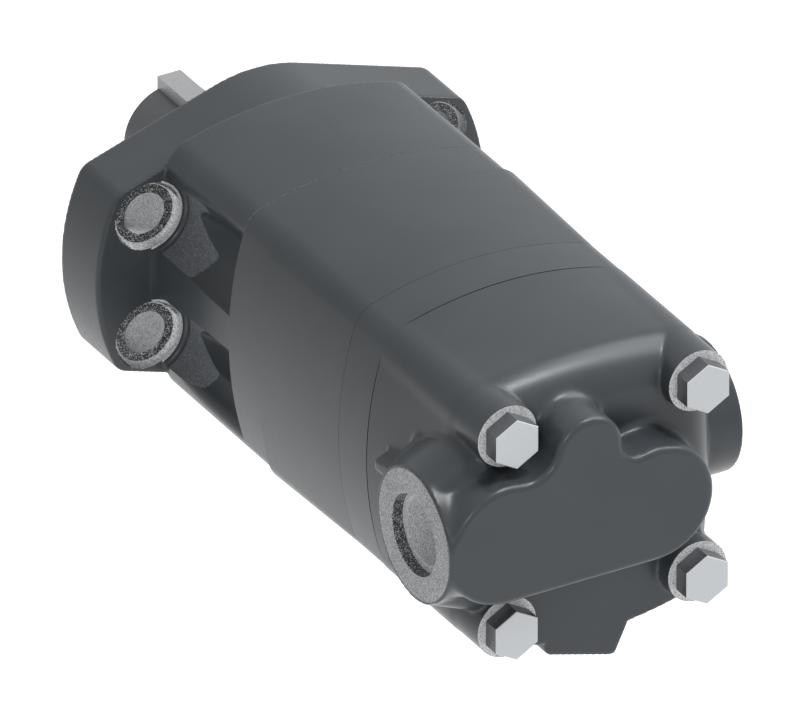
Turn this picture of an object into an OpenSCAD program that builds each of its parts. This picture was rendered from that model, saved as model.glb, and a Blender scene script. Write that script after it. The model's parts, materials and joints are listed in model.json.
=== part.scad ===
// Orbital hydraulic motor with a rear disc valve: cast flange housing with the
// output bearings, roller gear set, valve plate and ported end cover.
// Every piece is drawn with the shaft along local z, where z is the distance
// behind the mounting face, then stood up so that the shaft points along +Y.

/* [Body] */
// Metal between the bolt holes and the roller pockets' outer circle
bolt_wall = 2.73; // [2:0.01:5]
// Distance from the axes of the cover bolts to the side of the body
bolt_edge = 15; // [14:0.1:18]
// Corner radius of the housing, wear plate and front of the ring
corner_r = 10.3; // [9.8:0.1:11]
// Corner radius of the valve plate and end cover
cover_corner_r = 9.95; // [9.6:0.05:10.5]
// Corner radius of the ring where it meets the wear plate
ring_corner_r = 11.2; // [10.6:0.1:12]

/* [Lengths] */
// Thickness of the mounting flange
flange_t = 22; // [18:0.5:26]
// Length of the bearing housing behind the flange
housing_len = 45.3; // [44:0.1:60]
// Thickness of the wear plate
wear_t = 16.8; // [12:0.1:22]
// Length of the roller ring and of the star in it
gear_len = 48.7; // [40:0.1:60]
// Thickness of the valve plate
valve_plate_t = 16.7; // [14:0.1:20]
// Length of the end cover, up to its bolt seats
cover_len = 56.6; // [54:0.1:64]
// How far the rear boss stands behind the bolt seats
boss_rise = 9.8; // [6:0.1:14]
// How far the lower step lies in front of the bolt seats
step_drop = 5.9; // [2:0.1:9]

/* [Flange] */
// How far the flange's middle lies inside the sides of the body
flange_drop = 0.7; // [0.4:0.1:3]
// Metal from the mounting holes' circle to the flange's two ends
flange_lip = 13.4; // [11:0.1:18]
// Slope of the flange's straight edges
flange_slope = 17.8; // [14:0.1:22]
// Radius of the flange's corners
flange_corner_r = 6.5; // [4:0.5:9]
// Rounding of the flange's rear edge
flange_round = 1.8; // [0.8:0.1:3]
// Circle that the mounting holes lie on, as a diameter
mount_pcd = 106.4; // [104:0.1:110]
// Angle of the mounting holes from the horizontal
mount_angle = 22.5; // [20:0.5:25]
// Diameter of the mounting holes
mount_d = 13.6; // [11:0.1:15]
// Radius of the spot face behind each mounting hole
mount_spot_r = 11.1; // [10:0.1:12]
// Depth of those spot faces
mount_spot_deep = 2.2; // [1:0.1:4]
// Diameter of the pilot
pilot_d = 82.55; // [76:0.05:88]
// Height of the pilot
pilot_h = 6; // [4:0.1:8]

/* [Shaft] */
// Diameter of the output shaft
shaft_d = 31.75; // [28:0.05:34]
// Length of the shaft in front of the mounting face
shaft_len = 52.3; // [45:0.1:60]
// Width and height of the key
key_w = 7.94; // [6:0.01:9]
// Length of the key
key_len = 31.75; // [20:0.25:38]
// Distance from the shaft's end to the key
key_end = 0.6; // [0.4:0.1:6]
// How far the key stands above the shaft
key_rise = 3.5; // [2.5:0.1:4.5]
// Radius of the tapped hole in the shaft's end
end_hole_r = 4; // [3:0.1:5]
// Depth of the tapped hole in the shaft's end
end_hole_deep = 19; // [12:0.5:24]
// Radius of the seal journal
journal_r = 19.05; // [18:0.05:20]
// Radius of the bearing hub
hub_r = 24; // [23:0.1:25]

/* [Bearings] */
// Radius of the needles
needle_r = 2; // [1.5:0.1:2.2]
// Number of needles in each bearing
needle_count = 18; // [12:1:20]
// Length of each needle bearing
needle_len = 16; // [12:0.5:20]
// Wall of the bearing cups
cup_wall = 1.9; // [1:0.1:2.4]
// Thickness of each thrust race
race_t = 1.5; // [1:0.1:2]
// Radius of the thrust rollers
thrust_roller_r = 1.5; // [1.2:0.1:2]
// Number of thrust rollers
thrust_count = 16; // [10:1:18]

/* [Gear set] */
// Radius of the circle that the rollers stand on
roller_pitch_r = 31; // [28:0.1:34]
// Radius of a roller
roller_r = 7; // [6.6:0.1:7.4]
// Orbit radius of the star
orbit_r = 3; // [2.6:0.1:3.2]
// Running gap round the star and rollers
gear_gap = 0.08; // [0.05:0.01:0.12]
// Running gap at each end of the star and rollers
end_gap = 0.05; // [0.03:0.01:0.08]
// How far the ring's inner face lies inside the circle of roller axes
land_drop = 0.4; // [0:0.1:0.8]

/* [Drives] */
// Tip radius of the drive splines
spline_tip_r = 13.4; // [12.8:0.1:13.6]
// Depth of the splines
spline_deep = 2.2; // [1.6:0.1:2.4]
// Number of spline teeth
spline_teeth = 12; // [10:1:14]
// Width of a drive tooth
tooth_w = 2.6; // [2.2:0.1:2.8]
// Gap on each side of a drive tooth
tooth_gap = 0.5; // [0.45:0.05:0.6]
// Radial gap round the drive heads
head_gap = 0.8; // [0.7:0.05:1]
// Radius of the main drive between its heads
drive_r = 9.5; // [8:0.1:10]
// Radius of the valve drive between its heads
valve_drive_r = 7.5; // [6:0.1:8]

/* [Valve] */
// Radius of the valve disc
disc_r = 31; // [30:0.1:32]
// Thickness of the valve disc
disc_t = 11; // [9:0.1:13]
// Radius of the circle of ports in the valve plate
port_circle_r = 26.5; // [25.5:0.1:27]
// Radius of each port in the valve plate
port_hole_r = 2.9; // [2.4:0.1:3.1]
// Thickness of the balance ring's flange
balance_t = 8; // [6:0.1:10]
// Inner radius of the balance ring
balance_in_r = 22.4; // [21.5:0.1:23]
// Outer radius of the balance ring's tail
balance_tail_r = 25; // [24.5:0.1:25.5]
// Length of the balance ring's tail
balance_tail = 6.4; // [4:0.1:8]
// Outer radius of the balance ring
balance_out_r = 29; // [28.5:0.1:30]

/* [Ports] */
// Distance from the shaft axis to each port face
port_face = 57.2; // [54:0.1:62]
// Radius of a port's spot face
port_spot_r = 20.5; // [18:0.1:21]
// Radius of the boss round a port
port_boss_r = 21.2; // [20.6:0.1:22.5]
// Radius of a port's mouth
port_mouth_r = 13.5; // [12:0.1:15]
// Depth of a port's mouth
port_mouth_deep = 3.6; // [2:0.1:5]
// Radius of a port's threaded bore
port_r = 10.2; // [9:0.1:11]
// Radius of the passage behind the left port
left_way_r = 8; // [5:0.5:10]
// Radius of the passage behind the right port
right_way_r = 4.5; // [3:0.1:5]
// Depth of a port
port_deep = 20; // [16:0.1:24]
// Distance from the mounting face to the right port
right_port_z = 169.8; // [166:0.1:172]
// Distance from the mounting face to the left port
left_port_z = 194.2; // [190:0.1:196]

/* [Fasteners] */
// Diameter of the cover bolts
bolt_d = 9.525; // [8:0.005:10]
// Width of a bolt head across its flats
head_af = 14.29; // [13:0.01:15]
// Height of a bolt head
head_h = 6; // [5:0.1:8]
// Thread length of the bolts in the housing
bolt_bite = 22; // [16:0.5:26]
// Radius of the bolt holes
bolt_hole_r = 5.15; // [4.9:0.05:5.3]
// Radius of the seats under the bolt heads
bolt_seat_r = 9.65; // [9:0.05:9.9]
// Radius of the drain plug
drain_r = 5; // [4:0.1:6]
// Length of the drain plug
drain_len = 10; // [7:0.1:12]
// Radius of the drain plug's hexagon socket
socket_r = 2.9; // [2:0.1:3.2]
// Depth of that socket
socket_deep = 4.5; // [3:0.1:6]

/* [Seals] */
// Metal between the bolt holes and the seals of the body's sections
seal_land = 0.66; // [0.4:0.02:0.8]
// Width of those seals
seal_w = 1.7; // [1.2:0.1:1.8]
// Depth of their grooves
seal_deep = 1.4; // [1:0.1:2]
// Small gap between a fixed piece and its seat
fit_gap = 0.03; // [0.02:0.01:0.05]
// Running gap round the shaft and bearings
run_gap = 0.05; // [0.03:0.01:0.08]

/* [Hidden] */
$fn = 96;
cut = 1;

paint = [0.32, 0.34, 0.35];
machined = [0.72, 0.74, 0.76];
steel = [0.62, 0.64, 0.67];
rubber = [0.12, 0.12, 0.13];

// stations along the shaft, measured behind the mounting face
wear_z = flange_t + housing_len;
ring_z = wear_z + wear_t;
plate_z = ring_z + gear_len;
cover_z = plate_z + valve_plate_t;
seat_z = cover_z + cover_len;
step_z = seat_z - step_drop;
boss_z = seat_z + boss_rise;

// the cover bolts stand on a square outside the roller pockets, and the body's
// sides stand outside the bolts
bolt_half = (roller_pitch_r + roller_r + gear_gap + bolt_wall + bolt_hole_r) / sqrt(2);
body_half = bolt_half + bolt_edge;
seal_r = bolt_half * sqrt(2) - bolt_hole_r - seal_land - seal_w / 2;
ring_land_r = roller_pitch_r - land_drop;
flange_r = body_half - flange_drop;
flange_end_r = mount_pcd / 2 + flange_lip;

// how far the housing's pockets start inside the flange
sink = 0.06;
mount_x = mount_pcd / 2 * cos(mount_angle);
mount_y = mount_pcd / 2 * sin(mount_angle);
shaft_r = shaft_d / 2;
bolt_r = bolt_d / 2;

// seats in the housing
dust_z = [-pilot_h + 0.2, -1.5];
dust_r = shaft_r + 5.2;
journal_z = 1;
seal_z = 3;
seal_t = 6;
washer_t = 1.4;
seal_seat_r = journal_r + 8;
thrust_z = 11;
bearing_r = hub_r + 2 * (needle_r + run_gap) + cup_wall;
thrust_roller_z = thrust_z + race_t + run_gap + thrust_roller_r;
race_rear_z = thrust_roller_z + thrust_roller_r + run_gap;
hub_z = race_rear_z + race_t;
hub_end = wear_z - 10 * end_gap;
front_needle_z = hub_z + 3;
rear_needle_z = hub_end - 2 - needle_len;
needle_pitch_r = hub_r + run_gap + needle_r;

// the main drive runs from the shaft to the star and the valve drive from the
// star to the valve disc; both lean, because the star stands off the axis
head_len = 13;
valve_head_len = 8;
shaft_head_z = hub_z + 22;
star_head_z = ring_z + 17;
star_valve_z = plate_z - 8;
disc_head_z = cover_z + 0.6 * disc_t;
drive_lean = atan(orbit_r / (star_head_z - shaft_head_z));
valve_lean = atan(orbit_r / (disc_head_z - star_valve_z));
drive_run = (star_head_z - shaft_head_z) / cos(drive_lean);
valve_run = (disc_head_z - star_valve_z) / cos(valve_lean);
bore_tip_r = spline_tip_r + head_gap;
bore_root_r = bore_tip_r - spline_deep;
drive_bore_r = bore_tip_r + 2.3;
spacer_z = star_head_z + head_len / 2 + 3;
spacer_t = 2.5;

// valve cavity in the end cover
disc_z = cover_z + end_gap;
balance_z = disc_z + disc_t + end_gap;
cavity_r = disc_r + 3;
cavity_end = balance_z + 5;
balance_seat_r = balance_out_r + 0.5;
balance_seat_end = balance_z + balance_t + 1;
tail_seat_r = balance_tail_r + 0.3;
tail_end = balance_z + balance_t + balance_tail;
tail_seat_end = tail_end + 3;
pin_r = 1.25;
pin_circle_r = (balance_tail_r + balance_out_r) / 2;
pin_z = [balance_z + 5.6, balance_seat_end + 3];

neck_r = 9;
left_way_end = left_port_z + 6;
right_way_z = cover_z + right_way_r + 6;

// drain boss under the end cover
drain_mid = [-3.7, -body_half - 6.2];
drain_tilt = 16.1;
drain_boss_len = 24;
drain_z = step_z - drain_boss_len / 2;
drain_seal_w = 1.5;
drain_seal_deep = 2;

function arc(c, r, a0, a1, n) =
    [for (i = [0 : n]) let (a = a0 + (a1 - a0) * i / n) c + r * [cos(a), sin(a)]];
function heading(v) = atan2(v.y, v.x);

module stand() { rotate([90, 0, 0]) children(); }

module rod(z0, z1, r) { translate([0, 0, z0]) cylinder(h = z1 - z0, r = r); }

module cone(z0, z1, r0, r1) { translate([0, 0, z0]) cylinder(h = z1 - z0, r1 = r0, r2 = r1); }

module tube(z0, z1, r_out, r_in) {
    difference() {
        rod(z0, z1, r_out);
        rod(z0 - cut, z1 + cut, r_in);
    }
}

// round bar with a small chamfer at both ends
module pin(z0, z1, r, edge) {
    cone(z0, z0 + edge, r - edge, r);
    rod(z0 + edge, z1 - edge, r);
    cone(z1 - edge, z1, r, r - edge);
}

module at_bolts() {
    for (x = [-1, 1], y = [-1, 1]) translate([x * bolt_half, y * bolt_half, 0]) children();
}

module at_mounts() {
    for (x = [-1, 1], y = [-1, 1]) translate([x * mount_x, y * mount_y, 0]) children();
}

// solid through a stack of rings, each a list of points and its height
module loft(rings) {
    n = len(rings[0][0]);
    last = len(rings) - 1;
    polyhedron(
        points = [for (r = rings, p = r[0]) [p.x, p.y, r[1]]],
        faces = concat(
            [[for (i = [0 : n - 1]) i]],
            [for (k = [0 : last - 1], i = [0 : n - 1])
                let (j = (i + 1) % n) [k * n + i, k * n + n + i, k * n + n + j, k * n + j]],
            [[for (i = [n - 1 : -1 : 0]) last * n + i]]
        )
    );
}

// outlines

// crown radius that runs into the corner circles without an edge
function crown_r(r, w) =
    (w * w + 2 * bolt_half * bolt_half - 2 * w * bolt_half - r * r) / (2 * (w - bolt_half - r));

module crown(w, big, a) { rotate(a) translate([w - big, 0]) circle(big, $fn = 360); }

// body outline: four crowned sides that run into four round corners
module body_outline(r, w = body_half) {
    big = crown_r(r, w);
    run = [bolt_half - w + big, bolt_half];
    touch = [w - big, 0] + run * big / norm(run);
    b = w + 2;
    k = touch.x + touch.y - b;
    intersection() {
        crown(w, big, 0);
        crown(w, big, 90);
        crown(w, big, 180);
        crown(w, big, 270);
        polygon([[b, k], [k, b], [-k, b], [-b, k], [-b, -k], [-k, -b], [k, -b], [b, -k]]);
    }
    at_bolts() circle(r);
}

// centre of the flange's first corner round
flange_corner =
    let (n = [sin(flange_slope), cos(flange_slope)], off = flange_r - flange_corner_r,
         reach = flange_end_r - flange_corner_r)
    off * n + sqrt(reach * reach - off * off) * [n.y, -n.x];

// flange outline as a ring of points, drawn in by an inset: round middle, sloping
// edges, round corners and round ends
function flange_ring(inset) =
    let (c = flange_corner, a = heading(c), s = flange_slope, rc = flange_corner_r - inset)
    concat(
        arc([0, 0], flange_end_r - inset, -a, a, 12), arc(c, rc, a + 4, 90 - s, 4),
        arc([0, 0], flange_r - inset, 90 - s, 90 + s, 8), arc([-c.x, c.y], rc, 90 + s, 176 - a, 4),
        arc([0, 0], flange_end_r - inset, 180 - a, 180 + a, 12), arc(-c, rc, 184 + a, 270 - s, 4),
        arc([0, 0], flange_r - inset, 270 - s, 270 + s, 8), arc([c.x, -c.y], rc, 270 + s, 356 - a, 4)
    );

// splines: teeth of a drive, and the slotted bore that they fit
module spline_teeth_outline() {
    circle(spline_tip_r - spline_deep);
    intersection() {
        circle(spline_tip_r);
        for (i = [1 : spline_teeth]) rotate(i * 360 / spline_teeth)
            translate([0, -tooth_w / 2]) square([spline_tip_r + cut, tooth_w]);
    }
}

module spline_bore_outline() {
    slot = tooth_w + 2 * tooth_gap;
    circle(bore_root_r);
    intersection() {
        circle(bore_tip_r);
        for (i = [1 : spline_teeth]) rotate(i * 360 / spline_teeth)
            translate([0, -slot / 2]) square([bore_tip_r + cut, slot]);
    }
}

// star profile: the curve that stays in touch with every roller as it orbits
function star_point(t, n, reach) =
    let (lean = atan2(sin((1 - n) * t), roller_pitch_r / (orbit_r * n) - cos((1 - n) * t)))
    [roller_pitch_r * cos(t) - reach * cos(t + lean) - orbit_r * cos(n * t),
     -roller_pitch_r * sin(t) + reach * sin(t + lean) + orbit_r * sin(n * t)];

module star_outline() {
    steps = 432;
    polygon([for (i = [0 : steps - 1]) star_point(360 * i / steps, 7, roller_r + gear_gap)]);
}

// rear boss of the end cover: three lobes over a straight foot, with hollows between
lobe_left = [19.8 - port_face, 1.2, 19.8];
lobe_top = [-9.8, 25, 11.4];
lobe_right = [13.7, 0.4, 19];
hollow_left = 10;
hollow_right = 6;

function centre(l) = [l.x, l.y];

// centre of a hollow that touches two lobes from outside, to the right of a-b
function hollow_centre(a, b, r) =
    let (ra = a.z + r, rb = b.z + r, v = centre(b) - centre(a), d = norm(v),
         u = (ra * ra - rb * rb + d * d) / (2 * d), h = sqrt(ra * ra - u * u))
    centre(a) + u * v / d + h * [v.y, -v.x] / d;

// end angle of an arc that runs clockwise
function clockwise(a, b) = b > a ? b - 360 : b;

function rear_boss_ring(inset) =
    let (l = centre(lobe_left), t = centre(lobe_top), r = centre(lobe_right),
         p = hollow_centre(lobe_right, lobe_top, hollow_right),
         q = hollow_centre(lobe_top, lobe_left, hollow_left))
    concat(
        arc(r, lobe_right.z - inset, -90, heading(p - r), 18),
        arc(p, hollow_right + inset, heading(r - p), clockwise(heading(r - p), heading(t - p)), 8),
        arc(t, lobe_top.z - inset, heading(p - t), heading(q - t), 12),
        arc(q, hollow_left + inset, heading(t - q), clockwise(heading(t - q), heading(l - q)), 8),
        arc(l, lobe_left.z - inset, heading(q - l), 270, 18)
    );

// housing and shaft

// pocket that clears a mounting bolt: drafted, with a round floor edge
module mount_pocket() {
    floor_r = 13.6;
    rear_r = 14.8;
    edge = 3.5;
    floor_z = flange_t - sink;
    rotate_extrude() polygon(concat(
        [[0, floor_z]],
        arc([floor_r - edge, floor_z + edge], edge, -90, 0, 12),
        [[rear_r, wear_z + cut], [0, wear_z + cut]]
    ));
}

// spot face behind a mounting hole, with the round edge that its cutter leaves
module mount_spot() {
    floor_z = flange_t - mount_spot_deep;
    edge = 0.8 * mount_spot_deep;
    rotate_extrude() polygon(concat(
        [[0, floor_z]],
        arc([mount_spot_r - edge, floor_z + edge], edge, -90, 0, 6),
        [[mount_spot_r, flange_t + cut], [0, flange_t + cut]]
    ));
}

// flat side between two mount pockets, with a ramp down to the flange
module side_relief() {
    web_half = body_half - 2.5;
    ramp = 4.5;
    foot = 0.5;
    for (side = [0, 180]) rotate([0, 0, side]) rotate([90, 0, 0])
        translate([0, 0, -mount_y]) linear_extrude(2 * mount_y) polygon([
            [web_half + ramp + foot, flange_t - foot], [web_half, flange_t + ramp],
            [web_half, wear_z + cut], [web_half + ramp + foot, wear_z + cut]
        ]);
}

module flange() {
    straight = flange_t - flange_round;
    loft(concat([[flange_ring(0), 0]], [for (a = [0 : 22.5 : 90])
        [flange_ring(flange_round * (1 - cos(a))), straight + flange_round * sin(a)]]));
    cone(-pilot_h, 0.8 - pilot_h, pilot_d / 2 - 0.8, pilot_d / 2);
    rod(0.8 - pilot_h, cut, pilot_d / 2);
}

module housing_bores() {
    rod(-pilot_h - cut, dust_z[1] + fit_gap, dust_r + fit_gap);
    rod(0, seal_z + cut, journal_r + 0.45);
    rod(-pilot_h, cut, shaft_r + 0.6);
    rod(seal_z, thrust_z + cut, seal_seat_r + fit_gap);
    rod(thrust_z, wear_z + cut, bearing_r + fit_gap);
}

// round-cornered body behind the flange, with its sides cut back
module housing_body() {
    front = flange_t - flange_round;
    difference() {
        difference() {
            translate([0, 0, front]) linear_extrude(wear_z - front) body_outline(corner_r);
            side_relief();
        }
        at_mounts() mount_pocket();
    }
}

module bearing_housing() {
    color(paint) stand() difference() {
        union() {
            flange();
            housing_body();
        }
        housing_bores();
        at_mounts() rod(-cut, flange_t + cut, mount_d / 2);
        at_mounts() mount_spot();
        at_bolts() rod(wear_z - bolt_bite - 4, wear_z + cut, bolt_r + fit_gap);
    }
}

module output_shaft() {
    key_floor = shaft_r + key_rise - key_w;
    color(steel) stand() difference() {
        union() {
            cone(-shaft_len, 1.2 - shaft_len, shaft_r - 1.2, shaft_r);
            rod(1.2 - shaft_len, journal_z + cut, shaft_r);
            rod(journal_z, hub_z + cut, journal_r);
            rod(hub_z, hub_end, hub_r);
        }
        translate([-key_w / 2 - fit_gap, key_floor - fit_gap, -shaft_len - cut])
            cube([key_w + 2 * fit_gap, key_w * 2, cut + key_end + key_len + fit_gap]);
        translate([0, 0, shaft_head_z - 9]) linear_extrude(18) spline_bore_outline();
        rod(shaft_head_z - 13, shaft_head_z - 9 + 0.01, bore_tip_r + 0.3);
        rod(shaft_head_z + 9 - 0.01, hub_end + cut, bore_tip_r + 0.3);
        rod(-shaft_len - cut, end_hole_deep - shaft_len, end_hole_r);
        cone(-shaft_len - 0.01, 1.6 - shaft_len, end_hole_r + 1.6, end_hole_r);
    }
}

module shaft_key() {
    color(machined) stand() translate([-key_w / 2, shaft_r + key_rise - key_w, key_end - shaft_len])
        cube([key_w, key_w, key_len]);
}

// lip seal: a U section with its lip on the shaft
module lip_seal(z0, z1, r_in, r_out) {
    t = z1 - z0;
    wall = (r_out - r_in) / 4;
    rotate_extrude() difference() {
        translate([r_in, z0]) square([r_out - r_in, t]);
        translate([r_in + wall, z0 + t * 0.4]) square([r_out - r_in - 2 * wall, t]);
    }
}

module dust_seal() {
    color(rubber) stand() lip_seal(dust_z[0], dust_z[1], shaft_r + run_gap, dust_r);
}

module shaft_seal() {
    color(rubber) stand() lip_seal(seal_z, seal_z + seal_t, journal_r + run_gap, seal_seat_r);
}

module backup_washer() {
    color(steel) stand()
        tube(seal_z + seal_t, seal_z + seal_t + washer_t, seal_seat_r, journal_r + 0.5);
}

// bearings

module thrust_race_front() {
    color(steel) stand() tube(thrust_z, thrust_z + race_t, bearing_r, journal_r + 1);
}

module thrust_race_rear() {
    color(steel) stand() tube(race_rear_z, hub_z, bearing_r - 0.5, journal_r + fit_gap);
}

module thrust_rollers() {
    r0 = journal_r + 2.5;
    len = bearing_r - 2 - r0;
    color(steel) stand() {
        for (i = [1 : thrust_count]) rotate([0, 0, i * 360 / thrust_count])
            translate([r0, 0, thrust_roller_z]) rotate([0, 90, 0]) cylinder(h = len, r = thrust_roller_r, $fn = 32);
        difference() {
            tube(thrust_roller_z - 0.7, thrust_roller_z + 0.7, bearing_r - 0.8, r0 - 1.2);
            for (i = [1 : thrust_count]) rotate([0, 0, i * 360 / thrust_count])
                translate([r0 - 0.05, -thrust_roller_r - 0.05, thrust_roller_z - cut])
                    cube([len + 0.1, 2 * thrust_roller_r + 0.1, 2 * cut]);
        }
    }
}

module bearing_cup(z0) {
    tube(z0 - 1.5, z0 + needle_len + 1.5, bearing_r, bearing_r - cup_wall);
}

// needles between the end rings of their cage
module needles(z0) {
    ring_t = 1.5;
    for (i = [1 : needle_count]) rotate([0, 0, i * 360 / needle_count])
        translate([needle_pitch_r, 0, 0]) rod(z0, z0 + needle_len, needle_r, $fn = 32);
    for (z = [z0 - 0.8 * ring_t, z0 + needle_len - 0.2 * ring_t])
        tube(z, z + ring_t, needle_pitch_r + 0.6 * needle_r, needle_pitch_r - 0.6 * needle_r);
}

module front_bearing_cup() { color(steel) stand() bearing_cup(front_needle_z); }

module front_needles() { color(machined) stand() needles(front_needle_z); }

module rear_bearing_cup() { color(steel) stand() bearing_cup(rear_needle_z); }

module rear_needles() { color(machined) stand() needles(rear_needle_z); }

// gear section

module seal_groove(z, way) {
    tube(min(z, z + way * seal_deep), max(z, z + way * seal_deep),
        seal_r + seal_w / 2 + fit_gap, seal_r - seal_w / 2 - fit_gap);
}

module wear_plate() {
    color(paint) stand() difference() {
        translate([0, 0, wear_z]) linear_extrude(wear_t) body_outline(corner_r);
        rod(wear_z - cut, ring_z + cut, drive_bore_r);
        at_bolts() rod(wear_z - cut, ring_z + cut, bolt_hole_r);
        seal_groove(wear_z, 1);
        seal_groove(ring_z, -1);
    }
}

module roller_ring() {
    color(paint) stand() difference() {
        union() {
            translate([0, 0, ring_z]) linear_extrude(gear_len) body_outline(cover_corner_r);
            at_bolts() cone(ring_z, plate_z, ring_corner_r, cover_corner_r);
        }
        rod(ring_z - cut, plate_z + cut, ring_land_r);
        for (i = [0 : 6]) rotate([0, 0, i * 360 / 7]) translate([roller_pitch_r, 0, 0])
            rod(ring_z - cut, plate_z + cut, roller_r + gear_gap);
        at_bolts() rod(ring_z - cut, plate_z + cut, bolt_hole_r);
    }
}

module star() {
    color(steel) stand() translate([orbit_r, 0, ring_z + end_gap])
        linear_extrude(gear_len - 2 * end_gap) difference() {
            star_outline();
            spline_bore_outline();
        }
}

module roller(i) {
    color(machined) stand() rotate([0, 0, (i - 1) * 360 / 7]) translate([roller_pitch_r, 0, 0])
        pin(ring_z + end_gap, plate_z - end_gap, roller_r, 0.5);
}

module roller_1() { roller(1); }

module roller_2() { roller(2); }

module roller_3() { roller(3); }

module roller_4() { roller(4); }

module roller_5() { roller(5); }

module roller_6() { roller(6); }

module roller_7() { roller(7); }

// drives

// splined head with crowned teeth, centred on its own origin
module drive_head(len) {
    crown_drop = 0.35;
    intersection() {
        translate([0, 0, -len / 2]) linear_extrude(len) spline_teeth_outline();
        rotate_extrude() polygon([
            [0, -len / 2], [spline_tip_r - crown_drop, -len / 2], [spline_tip_r, -len / 6],
            [spline_tip_r, len / 6], [spline_tip_r - crown_drop, len / 2], [0, len / 2]
        ]);
    }
}

module main_drive() {
    color(steel) stand() translate([0, 0, shaft_head_z]) rotate([0, drive_lean, 0]) {
        drive_head(head_len);
        rod(0, drive_run, drive_r);
        translate([0, 0, drive_run]) drive_head(head_len);
    }
}

module drive_spacer() {
    color(machined) stand() translate([orbit_r, 0, 0])
        pin(spacer_z, spacer_z + spacer_t, bore_root_r - 0.5, 0.4);
}

module valve_drive() {
    color(steel) stand() translate([orbit_r, 0, star_valve_z]) rotate([0, -valve_lean, 0]) {
        drive_head(valve_head_len);
        rod(0, valve_run, valve_drive_r);
        translate([0, 0, valve_run]) drive_head(valve_head_len);
    }
}

// valve section

module valve_plate() {
    color(paint) stand() difference() {
        translate([0, 0, plate_z]) linear_extrude(valve_plate_t) body_outline(cover_corner_r);
        rod(plate_z - cut, cover_z + cut, bore_root_r + 1);
        for (i = [0 : 6]) rotate([0, 0, (i + 0.5) * 360 / 7]) translate([port_circle_r, 0, 0])
            rod(plate_z - cut, cover_z + cut, port_hole_r);
        at_bolts() rod(plate_z - cut, cover_z + cut, bolt_hole_r);
        seal_groove(plate_z, 1);
        seal_groove(cover_z, -1);
    }
}

// valve disc: six windows open at the rim and six lead to its inner face
module valve_disc() {
    inner_r = balance_in_r - 3;
    color(machined) stand() difference() {
        rod(disc_z, disc_z + disc_t, disc_r);
        translate([0, 0, disc_z - cut]) linear_extrude(disc_t + 2 * cut) spline_bore_outline();
        for (i = [0 : 5]) rotate([0, 0, i * 60 + 15]) {
            translate([port_circle_r, 0, 0]) rod(disc_z - cut, disc_z + 6, port_hole_r);
            translate([port_circle_r, -port_hole_r, disc_z - cut]) cube([disc_r, 2 * port_hole_r, 6 + cut]);
        }
        for (i = [0 : 5]) rotate([0, 0, i * 60 + 45]) {
            translate([port_circle_r, 0, 0]) rod(disc_z - cut, disc_z + 6, port_hole_r);
            translate([inner_r, -port_hole_r + 0.4, disc_z - cut])
                cube([port_circle_r - inner_r, 2 * port_hole_r - 0.8, 6 + cut]);
            translate([inner_r, 0, 0]) rod(disc_z - cut, disc_z + disc_t + cut, port_hole_r - 0.4);
        }
    }
}

module at_pins() {
    for (a = [90, 270]) rotate([0, 0, a]) translate([pin_circle_r, 0, 0]) children();
}

module balance_ring() {
    color(machined) stand() difference() {
        union() {
            rod(balance_z, balance_z + balance_t, balance_out_r);
            rod(balance_z + balance_t - cut, tail_end, balance_tail_r);
        }
        rod(balance_z - cut, tail_end + cut, balance_in_r);
        tube(balance_z + 2, balance_z + 4, balance_out_r + cut, balance_out_r - 1.2);
        at_pins() rod(pin_z[0], pin_z[1], pin_r + fit_gap);
    }
}

module balance_pins() { color(steel) stand() at_pins() pin(pin_z[0], pin_z[1], pin_r, 0.3); }

module outer_face_seal() {
    color(rubber) stand() tube(balance_z + 2 + fit_gap, balance_z + 4 - fit_gap,
        balance_seat_r - run_gap, balance_out_r - 1.2 + fit_gap);
}

module inner_face_seal() {
    color(rubber) stand() tube(tail_end, tail_end + 1.4, balance_tail_r, balance_in_r + 0.2);
}

// dished spring washer that holds the balance ring against the valve disc
module balance_spring() {
    z = tail_end + 1.4;
    r0 = balance_in_r + 0.4;
    r1 = balance_tail_r - 0.1;
    color(steel) stand() rotate_extrude()
        polygon([[r0, z + 0.8], [r1, z + 0.01], [r1, z + 0.6], [r0, z + 1.4]]);
}

// end cover

module drain_boss_outline() {
    hull() {
        translate([-14.2, -body_half - 0.9]) circle(1.6, $fn = 32);
        translate([6.4, -body_half - 7.1]) circle(1.9, $fn = 32);
        translate([-17, 7.5 - body_half]) square(0.1);
        translate([10.4, 7.5 - body_half]) square(0.1);
    }
}

module at_drain() {
    translate([drain_mid.x, drain_mid.y, drain_z]) rotate([0, 0, -drain_tilt]) rotate([90, 0, 0]) children();
}

module at_left_port() { translate([0, 0, left_port_z]) rotate([0, -90, 0]) children(); }

module at_right_port() { translate([0, 0, right_port_z]) rotate([0, 90, 0]) children(); }

module port_boss() {
    rod(0, port_face - 0.6, port_boss_r);
    cone(port_face - 0.6, port_face, port_boss_r, port_spot_r + 0.1);
}

module port_bore() {
    rod(port_face - port_deep, port_face + cut, port_r);
    rod(port_face - port_mouth_deep, port_face + cut, port_mouth_r);
}

// upper part of the cover, rounded over towards the rear
module cover_shoulder() {
    round_r = 9.5;
    top = body_half - 3.6;
    straight = seat_z - 2.5 - round_r;
    hull() {
        translate([0, 0, cover_z + 12]) linear_extrude(0.02) body_outline(cover_corner_r, $fn = 48);
        for (a = [0 : 30 : 90]) {
            w = top - round_r * (1 - cos(a));
            translate([0, 0, straight + round_r * sin(a) - 0.02]) linear_extrude(0.02)
                body_outline(max(0.5, cover_corner_r - body_half + w), w, $fn = 48);
        }
    }
}

module rear_boss() {
    edge = 2.4;
    foot = cover_z + 24;
    loft(concat([[rear_boss_ring(0), foot]],
        [for (a = [0 : 30 : 90]) [rear_boss_ring(edge * (1 - cos(a))), boss_z - edge + edge * sin(a)]]));
}

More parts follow.
